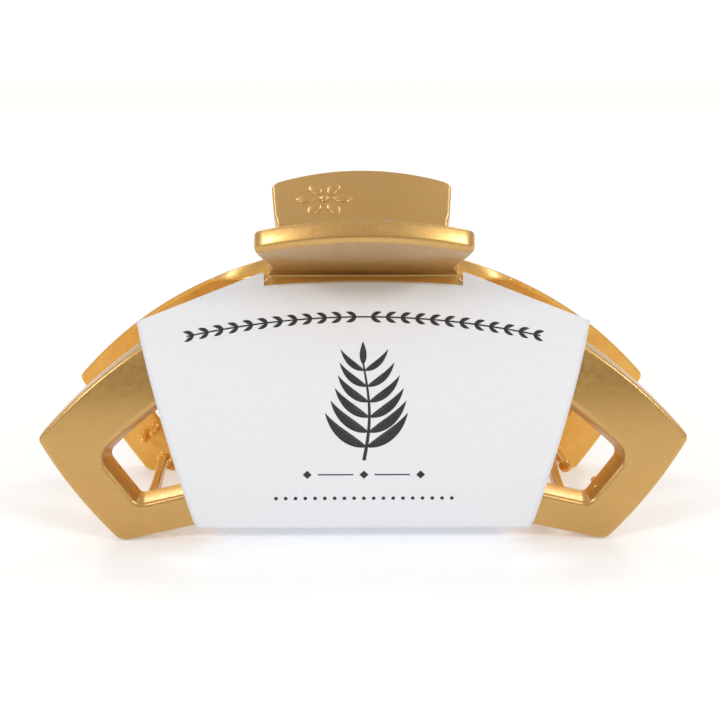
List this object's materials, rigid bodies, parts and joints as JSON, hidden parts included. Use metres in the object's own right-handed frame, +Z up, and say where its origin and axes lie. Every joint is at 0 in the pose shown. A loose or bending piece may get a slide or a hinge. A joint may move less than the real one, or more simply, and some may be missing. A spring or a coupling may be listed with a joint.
{
  "type": "claw hair clip",
  "caption": "Gold claw hair clip on its card: arched jaws with windows and interlocking teeth, turning on a sprung hinge pin under flared handles.",
  "frame": {"origin": "on the surface that the closed clip stands on, below the middle of the hinge", "axes": "+X along the hinge pin and the clip's length, +Y from the front jaw to the back jaw, +Z up to the handles"},
  "size_m": [0.1094, 0.0548, 0.0581],
  "materials": {
    "gold_plastic": "satin pearl gold coating on moulded plastic",
    "steel": "bright drawn steel pin with headed ends",
    "spring_steel": "drawn spring wire",
    "card": "matte white card, die cut"
  },
  "bodies": {
    "front_clip": {"front_jaw": "gold_plastic", "hinge_pin": "steel", "torsion_spring": "spring_steel"},
    "back_clip": {"back_jaw": "gold_plastic"},
    "card": {"display_card": "card"}
  },
  "joints": [
    {"name": "jaw_hinge", "type": "hinge", "parent": "front_clip", "child": "back_clip", "pos_m": [0, 0, 0.0457], "axis": [1, 0, 0], "range_deg": [0, 55], "stiffness_Nm_per_rad": 0.12, "springref_deg": -74.48, "deforming": ["torsion_spring"]},
    {"name": "card_slide", "type": "slide", "parent": "front_clip", "child": "card", "axis": [0, -1, 0], "range_m": [0, 0.05]}
  ]
}
